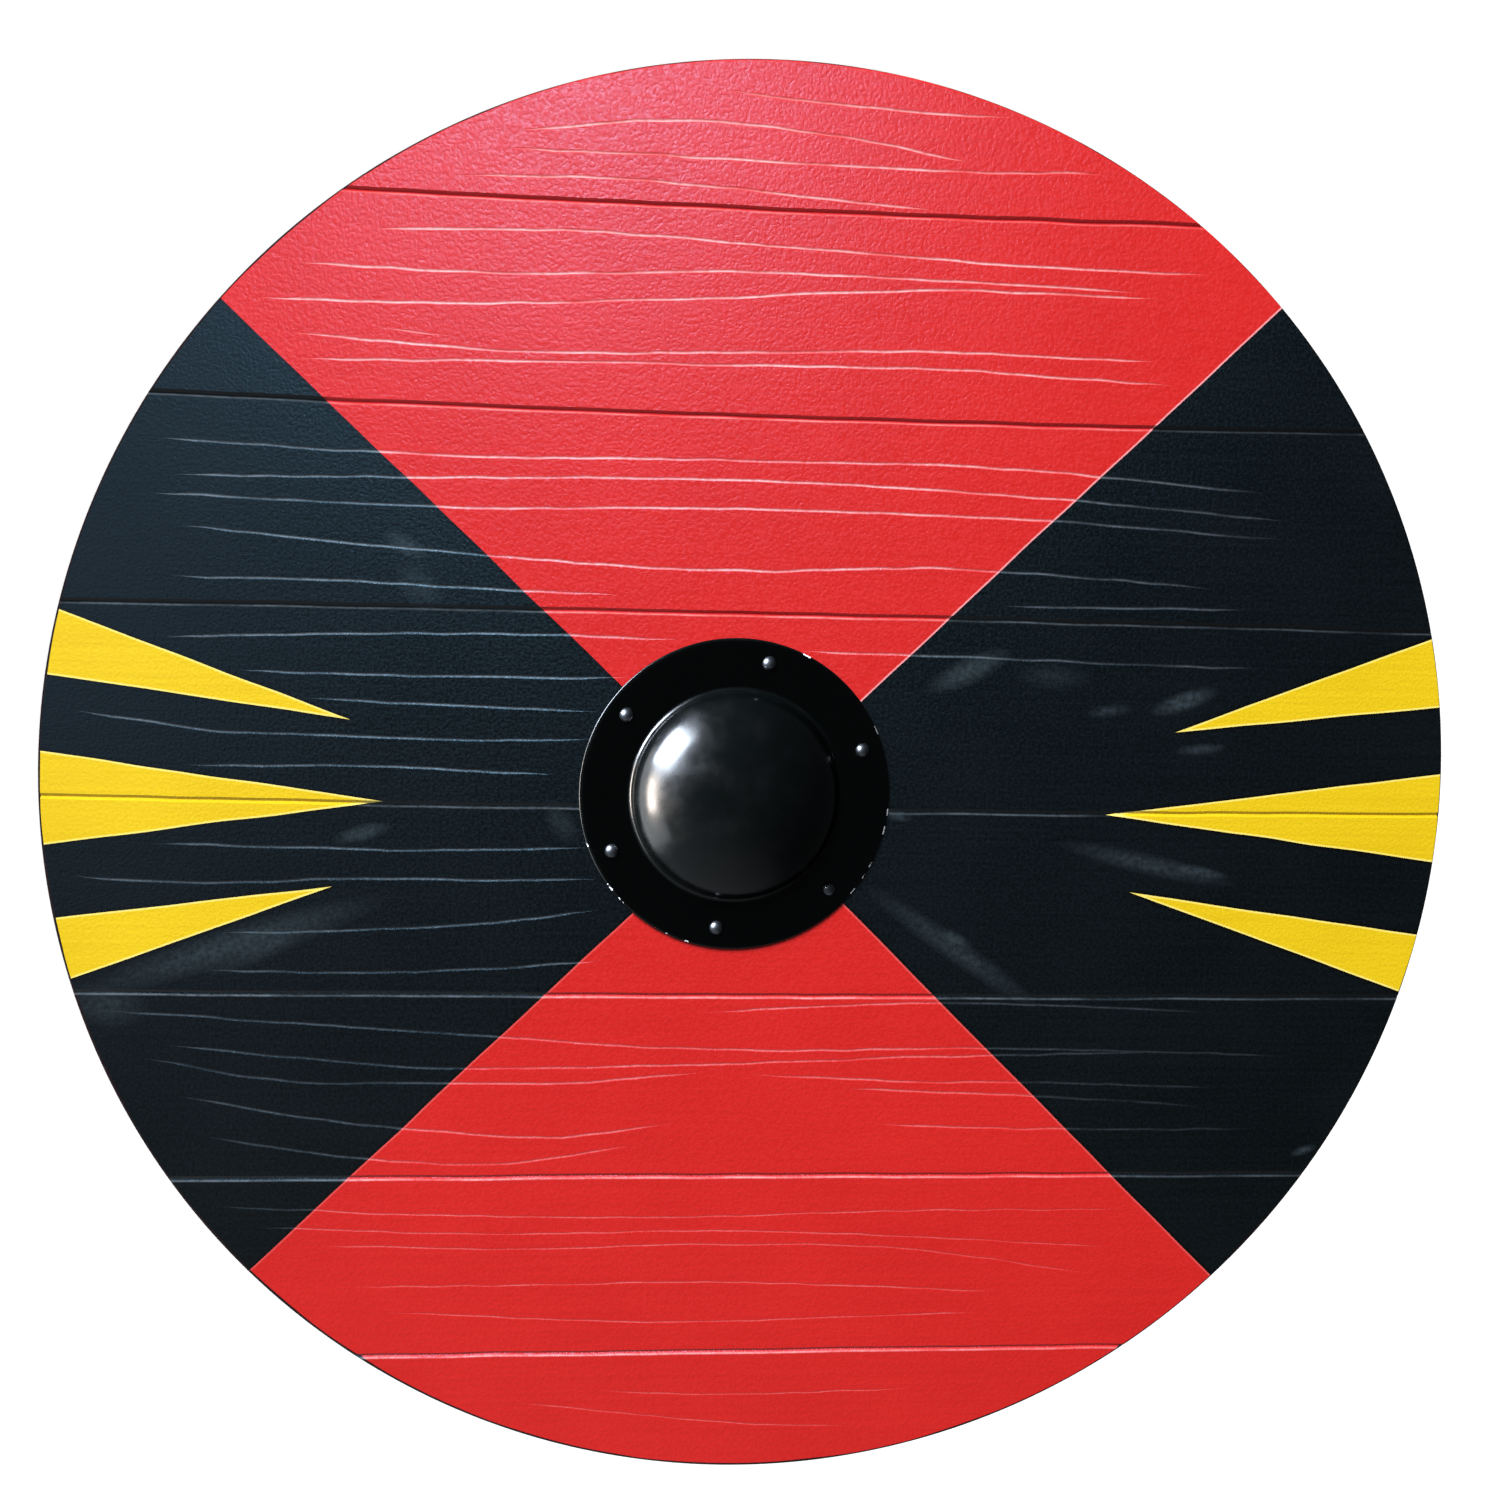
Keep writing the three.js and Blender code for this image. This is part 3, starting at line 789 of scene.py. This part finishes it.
def stoved_enamel(tree, colour, chipped):
    """Gloss black stoving enamel on pressed steel. The eye sees a deep black gloss with a slight ripple,
    faint finger smears that dull it, and bare pale chips in places along the flange's edge."""
    place = add_node(tree, "TexCoord", "Object")
    centre = (boss_centre.x * MM, boss_centre.y * MM, 0.0)
    flat = add_node(tree, "VectorMath", "Vector", {0: place, 1: (1.0, 1.0, 0.0)}, operation="MULTIPLY")
    out = add_node(tree, "VectorMath", "Value", {0: flat, 1: centre}, operation="DISTANCE")
    near_edge = add_node(tree, "MapRange", "Result", {
        "Value": out, "From Min": (flange_radius - 1.2) * MM, "From Max": (flange_radius - 0.7) * MM,
    })
    stretches = None
    for middle, half_width in chipped_stretches:
        spot = boss_centre + at_angle(middle, flange_radius)
        away = add_node(tree, "VectorMath", "Value", {
            0: flat, 1: (spot.x * MM, spot.y * MM, 0.0),
        }, operation="DISTANCE")
        reach = flange_radius * math.radians(half_width) * MM
        stretch = add_node(tree, "MapRange", "Result", {
            "Value": away, "From Min": 0.5 * reach, "From Max": reach, "To Min": 1.0, "To Max": 0.0,
        })
        if stretches is None:
            stretches = stretch
        else:
            stretches = add_node(tree, "Math", "Value", {0: stretches, 1: stretch}, operation="MAXIMUM")
    # chips 1 to 3 mm long
    ragged = add_node(tree, "TexNoise", "Fac", {"Vector": place, "Scale": 1 / 0.003, "Detail": 3.0})
    at_edge = add_node(tree, "Math", "Value", {0: near_edge, 1: stretches}, operation="MULTIPLY")
    broken = add_node(tree, "Math", "Value", {0: at_edge, 1: ragged}, operation="MULTIPLY")
    chip = add_node(tree, "MapRange", "Result", {"Value": broken, "From Min": 0.38, "From Max": 0.48})
    skin = add_node(tree, "MixRGB", "Color", {
        "Fac": chip, "Color1": paint_hex(colour), "Color2": paint_hex(chipped),
    })
    # finger smears some 14 mm across
    smears = add_node(tree, "TexNoise", "Fac", {"Vector": place, "Scale": 1 / 0.014, "Detail": 6.0})
    roughness = add_node(tree, "MapRange", "Result", {
        "Value": smears, "From Min": 0.4, "From Max": 0.7, "To Min": 0.2, "To Max": 0.32,
    })
    # the ripple of the pressing, 12 mm from crest to crest
    ripple = add_node(tree, "TexNoise", "Fac", {"Vector": place, "Scale": 1 / 0.012, "Detail": 1.0})
    wave = add_node(tree, "Bump", "Normal", {"Height": ripple, "Strength": 0.4, "Distance": 0.00012})
    return add_node(tree, "BsdfPrincipled", "BSDF", {
        "Base Color": skin, "Roughness": roughness, "Normal": wave, "IOR": 1.4,
    })


boss.data.materials.append(new_material("black_stoving_enamel", stoved_enamel, "#020303", "#9BA0A3"))
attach(boss, "root")
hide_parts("boss")

# The rivets
# Six round-head steel rivets hold the boss to the board. They were set from the front and their
# tails peened over washers at the back, and they have been left dark and bare.
rivet_head_height = 3.2
rivet_head_radius = 3.9
rivet_head_steps = 12
rivet_shank_radius = 2.0
rivet_tail_radius = 3.2
rivet_tail_flat = 2.2
rivet_tail_height = 1.2


def dark_steel(tree, dull, bright):
    """Bare forged steel gone dark. The eye sees grey metal, brighter where hands rub it, with fine pits."""
    place = add_node(tree, "TexCoord", "Object")
    # pits and scale about 0.8 mm across
    scale = add_node(tree, "TexNoise", "Fac", {"Vector": place, "Scale": 1 / 0.0008, "Detail": 3.0})
    rubbed_bright = add_node(tree, "MapRange", "Result", {"Value": scale, "From Min": 0.4, "From Max": 0.62})
    colour = add_node(tree, "MixRGB", "Color", {
        "Fac": rubbed_bright, "Color1": paint_hex(dull), "Color2": paint_hex(bright),
    })
    roughness = add_node(tree, "MapRange", "Result", {
        "Value": scale, "From Min": 0.35, "From Max": 0.65, "To Min": 0.45, "To Max": 0.3,
    })
    pits = add_node(tree, "Bump", "Normal", {"Height": scale, "Strength": 0.5, "Distance": 0.00005})
    return add_node(tree, "BsdfPrincipled", "BSDF", {
        "Base Color": colour, "Roughness": roughness, "Metallic": 1.0, "Normal": pits,
    })


rivet_steel = new_material("dark_forged_steel", dark_steel, "#4C4E50", "#7C7F82")
rivets = []
for node, place in zip(rivet_nodes, rivet_places):
    low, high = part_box(node)
    bottom = low[2] / MM
    top = high[2] / MM
    head_bottom = top - rivet_head_height
    head = []
    for i in range(rivet_head_steps):
        turn = math.pi / 2 * i / rivet_head_steps
        head.append((rivet_head_radius * math.cos(turn), head_bottom + rivet_head_height * math.sin(turn)))
    profile = [
        (0, bottom),
        (rivet_tail_flat, bottom),
        (rivet_tail_radius - 0.2, bottom + rivet_tail_height / 2),
        (rivet_tail_radius, bottom + rivet_tail_height * 0.7),
        (rivet_tail_radius, bottom + rivet_tail_height),
        (rivet_shank_radius, bottom + rivet_tail_height),
        (rivet_shank_radius, head_bottom),
        *head,
        (0, top),
    ]
    rivet = piece_from_mesh("dressed_" + node, *turned(profile, place, 40), smooth_degrees=40)
    rivet.data.materials.append(rivet_steel)
    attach(rivet, "root")
    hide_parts(node)
    rivets.append(rivet)

# The washers
# Six flat washers, blanked from sheet steel and bright zinc plated, each let into the wood under a
# rivet's tail.
washer_hole_radius = 2.3
washer_radius = 6.0
washer_chamfer = 0.2


def zinc_plate(tree, light, dark):
    """Bright zinc on blanked sheet steel. The eye sees pale cool metal with faint cloudy crystals."""
    place = add_node(tree, "TexCoord", "Object")
    # cloudy crystals about 2 mm across
    crystals = add_node(tree, "TexVoronoi", "Color", {"Vector": place, "Scale": 1 / 0.002})
    tone = add_node(tree, "SeparateColor", "Red", {"Color": crystals})
    colour = add_node(tree, "MixRGB", "Color", {
        "Fac": tone, "Color1": paint_hex(light), "Color2": paint_hex(dark),
    })
    roughness = add_node(tree, "MapRange", "Result", {"Value": tone, "To Min": 0.3, "To Max": 0.45})
    return add_node(tree, "BsdfPrincipled", "BSDF", {
        "Base Color": colour, "Roughness": roughness, "Metallic": 1.0,
    })


washer_zinc = new_material("bright_zinc_plate", zinc_plate, "#C3C6C8", "#A3A7AB")
washers = []
for node, place in zip(washer_nodes, [node_middle(node) for node in washer_nodes]):
    low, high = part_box(node)
    bottom = low[2] / MM
    top = high[2] / MM
    profile = [
        (washer_hole_radius, bottom),
        (washer_radius - washer_chamfer, bottom),
        (washer_radius, bottom + washer_chamfer),
        (washer_radius, top - washer_chamfer),
        (washer_radius - washer_chamfer, top),
        (washer_hole_radius, top),
    ]
    washer = piece_from_mesh("dressed_" + node, *turned(profile, place, 48), smooth_degrees=30)
    washer.data.materials.append(washer_zinc)
    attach(washer, "root")
    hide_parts(node)
    washers.append(washer)

# The grip
# A bar of ash across the back of the hand hole. Its thin ends are let in flush with the board and
# held by two of the rivets; between them it swells to a rounded handle, oiled and darkened by hands.
grip_end_thickness = 6.0
grip_end_corner = 1.0
grip_handle_thickness = 18.0
grip_handle_corner = 8.5
grip_shoulder = 16.0
shoulder_steps = 16
swell_start = math.sqrt((hand_hole_radius - housing_clearance) ** 2 - (grip_width / 2) ** 2)
handle_half_length = swell_start - grip_shoulder


def grip_section(along, thickness, corner):
    """Points in metres round the grip at a distance along it."""
    section = []
    for side_x, side_z, first in ((1, 1, 0), (-1, 1, 90), (-1, -1, 180), (1, -1, 270)):
        centre = (side_x * (grip_width / 2 - corner), thickness / 2 + side_z * (thickness / 2 - corner))
        section += arc(centre, corner, first, first + 90, 8)
    across = Vector((grip_direction.y, -grip_direction.x))
    points = []
    for sideways, height in section:
        flat = boss_centre + grip_direction * along + across * sideways
        points.append((flat.x * MM, flat.y * MM, height * MM))
    return points


# Distances along the grip from its end to its middle, and how far it has swelled into the handle there
stations = [
    (grip_half_length, 0.0),
    (grip_half_length - 0.01, 0.0),
    ((grip_half_length + swell_start) / 2, 0.0),
]
for i in range(shoulder_steps + 1):
    share = i / shoulder_steps
    stations.append((handle_half_length + grip_shoulder * (1 - share), share * share * (3 - 2 * share)))
stations += [(handle_half_length / 2, 1.0), (0.0, 1.0)]
stations += [(-along, swell) for along, swell in stations[-2::-1]]
grip_points = []
for along, swell in stations:
    thickness = grip_end_thickness + (grip_handle_thickness - grip_end_thickness) * swell
    corner = grip_end_corner + (grip_handle_corner - grip_end_corner) * swell
    grip_points += grip_section(along, thickness, corner)
ring_count = len(grip_points) // len(stations)
grip_polygons = [list(range(ring_count)), list(range(len(grip_points) - ring_count, len(grip_points)))[::-1]]
for ring in range(len(stations) - 1):
    for i in range(ring_count):
        j = (i + 1) % ring_count
        grip_polygons.append([ring * ring_count + j, ring * ring_count + i,
                              (ring + 1) * ring_count + i, (ring + 1) * ring_count + j])
grip = piece_from_mesh("dressed_grip", grip_points, grip_polygons)
grip_rivets = [rivet_places[0], rivet_places[3]]
drilled(grip, grip_rivets, shank_hole_radius, -5, grip_end_thickness + 5)
drilled(grip, grip_rivets, washer_recess_radius, -5, washer_recess_depth)
grip.data.shade_smooth()
grip.data.set_sharp_from_angle(angle=math.radians(35))


def oiled_ash(tree, early, late, handled):
    """Ash, planed and rubbed with oil. The eye sees pale brown wood with strong straight grain along the
    bar and open pores, and a darker, smoother patch where the hand closes on it."""
    place = add_node(tree, "TexCoord", "Object")
    turn = math.atan2(-grip_direction.x, grip_direction.y)
    local = add_node(tree, "Mapping", "Vector", {
        "Vector": place, "Location": (boss_centre.x * MM, boss_centre.y * MM, 0.0),
        "Rotation": (0.0, 0.0, turn),
    }, vector_type="TEXTURE")
    # growth rings about 3 mm apart, drawn out along the bar
    along = add_node(tree, "Mapping", "Vector", {
        "Vector": local, "Scale": (1 / 0.003, 1 / 0.120, 1 / 0.004),
    })
    rings = add_node(tree, "TexNoise", "Fac", {"Vector": along, "Scale": 1.0, "Detail": 2.0})
    late_wood = add_node(tree, "MapRange", "Result", {"Value": rings, "From Min": 0.42, "From Max": 0.62})
    # open pores 0.3 mm wide and 6 mm long
    fine = add_node(tree, "Mapping", "Vector", {
        "Vector": local, "Scale": (1 / 0.0003, 1 / 0.006, 1 / 0.0003),
    })
    pores = add_node(tree, "TexNoise", "Fac", {"Vector": fine, "Scale": 1.0, "Detail": 1.0})
    pore_marks = add_node(tree, "MapRange", "Result", {
        "Value": pores, "From Min": 0.56, "From Max": 0.72, "To Min": 0.0, "To Max": 0.6,
    })
    reach = add_node(tree, "VectorMath", "Value", {0: local, 1: (0.0, 0.0, 0.01)}, operation="DISTANCE")
    palm = add_node(tree, "MapRange", "Result", {
        "Value": reach, "From Min": handle_half_length * MM, "From Max": 0.015,
        "To Min": 0.0, "To Max": 0.7,
    })
    colour = paint_hex(early)
    layers = ((late_wood, late, "MIX"), (pore_marks, "#5E4128", "MIX"), (palm, handled, "MULTIPLY"))
    for share, over, blend in layers:
        colour = add_node(tree, "MixRGB", "Color", {
            "Fac": share, "Color1": colour, "Color2": paint_hex(over),
        }, blend_type=blend)
    roughness = add_node(tree, "MapRange", "Result", {
        "Value": palm, "From Min": 0.0, "From Max": 0.7, "To Min": 0.55, "To Max": 0.4,
    })
    grain = add_node(tree, "Bump", "Normal", {"Height": pores, "Strength": 0.35, "Distance": 0.00008})
    return add_node(tree, "BsdfPrincipled", "BSDF", {
        "Base Color": colour, "Roughness": roughness, "Normal": grain, "IOR": 1.5,
    })


grip.data.materials.append(new_material("oiled_ash", oiled_ash, "#C79C68", "#A5774A", "#B98A62"))
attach(grip, "root")
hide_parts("grip")

# The floor and the backdrop
# The shield lies on a plain sheet of white card, in a seamless white cove that only the camera sees: the
# cove neither lights the shield nor shows in its paint.
floor_reach = 1.3
floor_drop = 0.0005
floor_corners = [
    (x * floor_reach, y * floor_reach, -floor_drop) for x, y in ((-1, -1), (1, -1), (1, 1), (-1, 1))
]
floor = piece_from_mesh("floor_card", floor_corners, [[0, 1, 2, 3]])


def matt_card(tree, white, shade):
    """Matt white card. The eye sees an even white with a very faint tooth."""
    place = add_node(tree, "TexCoord", "Object")
    # the card's tooth, drawn at 1 mm, as coarse as it needs to show
    tooth = add_node(tree, "TexNoise", "Fac", {"Vector": place, "Scale": 1 / 0.001, "Detail": 2.0})
    colour = add_node(tree, "MixRGB", "Color", {
        "Fac": tooth, "Color1": paint_hex(white), "Color2": paint_hex(shade),
    })
    return add_node(tree, "BsdfPrincipled", "BSDF", {"Base Color": colour, "Roughness": 0.9})


floor.data.materials.append(new_material("white_card", matt_card, "#FDFDFD", "#F7F7F7"))

cove_radius = 12000
cove_bend = 3000
cove_bottom = -4.0
cove_profile = [
    (0, cove_bottom),
    *arc((cove_radius - cove_bend, cove_bottom + cove_bend), cove_bend, -90, 0, 12),
    *arc((0, cove_bottom + cove_bend), cove_radius, 0, 90, 12)[1:-1],
    (0, cove_bottom + cove_bend + cove_radius),
]
cove = piece_from_mesh("white_cove", *turned(cove_profile, (0, 0), 48), smooth_degrees=60)


def lit_paper(tree, white):
    """Seamless white background paper, evenly lit. The eye sees plain white."""
    return add_node(tree, "Emission", "Emission", {"Color": paint_hex(white), "Strength": 1.0})


paper = new_material("lit_white_paper", lit_paper, "#FFFFFF")
paper.cycles.emission_sampling = "NONE"
cove.data.materials.append(paper)
cove.visible_diffuse = False
cove.visible_glossy = False
cove.visible_transmission = False
cove.visible_shadow = False

# The light
# A dim room, paler below the shield, and one large soft light far off beyond the top of the face. Two cool
# lights lay their sheen on the paint, three at the left gleam on the boss, and the card has its own.


def soft_light(name, place, aim, width, height, power, colour, falls_on):
    """A soft rectangular light in metres, turned towards a point. It falls on these pieces alone."""
    light = bpy.data.lights.new(name, "AREA")
    light.shape = "RECTANGLE"
    light.size = width
    light.size_y = height
    light.energy = power
    light.color = paint_hex(colour)[:3]
    lamp = bpy.data.objects.new(name, light)
    lamp.location = place
    lamp.rotation_euler = (Vector(aim) - Vector(place)).to_track_quat("-Z", "Y").to_euler()
    bpy.context.scene.collection.objects.link(lamp)
    lit = bpy.data.collections.new(name + "_falls_on")
    for piece in falls_on:
        lit.objects.link(piece)
    lamp.light_linking.receiver_collection = lit
    return lamp


world = bpy.data.worlds.new("dim_room")
world.use_nodes = True
room = world.node_tree
towards = add_node(room, "TexCoord", "Generated")
# the pale end of the room lies low beyond the lower left of the face
facing = add_node(room, "VectorMath", "Value", {0: towards, 1: (-0.42, -0.88, 0.22)}, operation="DOT_PRODUCT")
brightness = add_node(room, "MapRange", "Result", {
    "Value": facing, "From Min": 0.45, "From Max": 1.0, "To Min": 0.045, "To Max": 0.42,
})
room.links.new(brightness, room.nodes["Background"].inputs["Strength"])
room.nodes["Background"].inputs["Color"].default_value = paint_hex("#EAF2FC")
bpy.context.scene.world = world
# The overhead light shapes every piece, and shows in the polish of none
overhead = soft_light("overhead_light", place=(-1.9, 4.7, 4.3), aim=(0, 0, 0),
                      width=3.5, height=3.5, power=825, colour="#FFFFFF",
                      falls_on=(board, boss, grip, *rivets, *washers))
overhead.visible_glossy = False
# The card's own light keeps it white up to the shield's edge
soft_light("card_light", place=(0, 0, 3.0), aim=(0, 0, 0),
           width=4.0, height=4.0, power=180, colour="#FFFFFF", falls_on=(floor,))
# Two cool lights show only as sheen on the painted face, at its top and at its left
sheen = soft_light("sheen_light", place=(-0.13, 1.06, 1.5), aim=(-0.05, 0.15, 0),
                   width=0.55, height=0.5, power=20, colour="#9AD6FF", falls_on=(board,))
side_sheen = soft_light("side_sheen_light", place=(-1.19, 0.33, 1.6), aim=(-0.2, 0.1, 0),
                        width=1.2, height=1.2, power=4.2, colour="#AED8FF", falls_on=(board,))
sheen.visible_diffuse = False
side_sheen.visible_diffuse = False
# A window and a warm lamp at the left give the dome its two gleams, and a low wall light fills in its side
soft_light("window_light", place=(-1.1, 0.76, 0.47), aim=(0, 0, 0.04),
           width=0.75, height=0.9, power=190, colour="#E2EEFF", falls_on=(boss, *rivets))
soft_light("warm_lamp", place=(-1.25, -0.06, 0.34), aim=(0, 0, 0.04),
           width=0.55, height=0.35, power=36, colour="#FFF0E4", falls_on=(boss,))
wall = soft_light("wall_light", place=(-1.1, -0.1, 0.0), aim=(0, 0, 0.03),
                  width=1.5, height=1.4, power=30, colour="#E6ECF2", falls_on=(boss,))
# In low views the flat flange would mirror the three low lights whole, so a fine grid lies over it as a
# flag: light from above goes through, and light from the side is stopped.
flag_gap = 0.3
flag_thickness = 0.1
flag_low = boss_bottom + boss_wall + flag_gap
flag_inside = dome_radius + dome_foot_radius
flag_outside = flange_radius - 0.8
flag_profile = [
    (flag_inside, flag_low), (flag_outside, flag_low),
    (flag_outside, flag_low + flag_thickness), (flag_inside, flag_low + flag_thickness),
]
flange_flag = piece_from_mesh("flange_flag", *turned(flag_profile, boss_centre, 96))
flange_flag.visible_camera = False
flange_flag.visible_diffuse = False


def fine_black_grid(tree):
    """A fine black grid. The eye sees through it from above, and only black from the side."""
    slant = add_node(tree, "LayerWeight", "Facing", {"Blend": 0.5})
    closed = add_node(tree, "MapRange", "Result", {"Value": slant, "From Min": 0.2, "From Max": 0.36})
    clear = add_node(tree, "BsdfTransparent", "BSDF", {"Color": paint_hex("#FFFFFF")})
    black = add_node(tree, "BsdfDiffuse", "BSDF", {"Color": paint_hex("#000000")})
    return add_node(tree, "MixShader", "Shader", {0: closed, 1: clear, 2: black})


flange_flag.data.materials.append(new_material("fine_black_grid", fine_black_grid))


def stopped_only_by(lamp, pieces):
    """Let only these pieces throw shadows in a light."""
    blockers = bpy.data.collections.new(lamp.name + "_is_stopped_by")
    for piece in pieces:
        blockers.objects.link(piece)
    lamp.light_linking.blocker_collection = blockers


stopped_only_by(wall, (boss, flange_flag))
stopped_only_by(overhead, (board, boss, grip, *rivets, *washers))
# Neither the board nor the card shows in the polish of the boss
board.visible_glossy = False
floor.visible_glossy = False

# The camera
# It looks down on the face from above the boss's upper left, turned a little anticlockwise.
camera_place = Vector((-0.1112, 0.0925, 0.812))
camera_aim = Vector((-0.0502, -0.0162, 0.012))
camera_roll = math.radians(1.295)
forward = (camera_aim - camera_place).normalized()
right = forward.cross(Vector((0, 1, 0))).normalized()
upward = right.cross(forward)
rolled_right = right * math.cos(camera_roll) + upward * math.sin(camera_roll)
rolled_up = upward * math.cos(camera_roll) - right * math.sin(camera_roll)
camera_data = bpy.data.cameras.new("camera")
camera_data.lens = 36.05
camera_data.sensor_width = 36.0
camera_data.shift_x = 0.0534
camera_data.shift_y = 0.0568
camera_data.clip_start = 0.01
camera = bpy.data.objects.new("camera", camera_data)
camera.rotation_mode = "QUATERNION"
camera.rotation_quaternion = Matrix((rolled_right, rolled_up, -forward)).transposed().to_quaternion()
camera.location = camera_place
bpy.context.scene.collection.objects.link(camera)
bpy.context.scene.camera = camera
bpy.context.scene.view_settings.view_transform = "Standard"
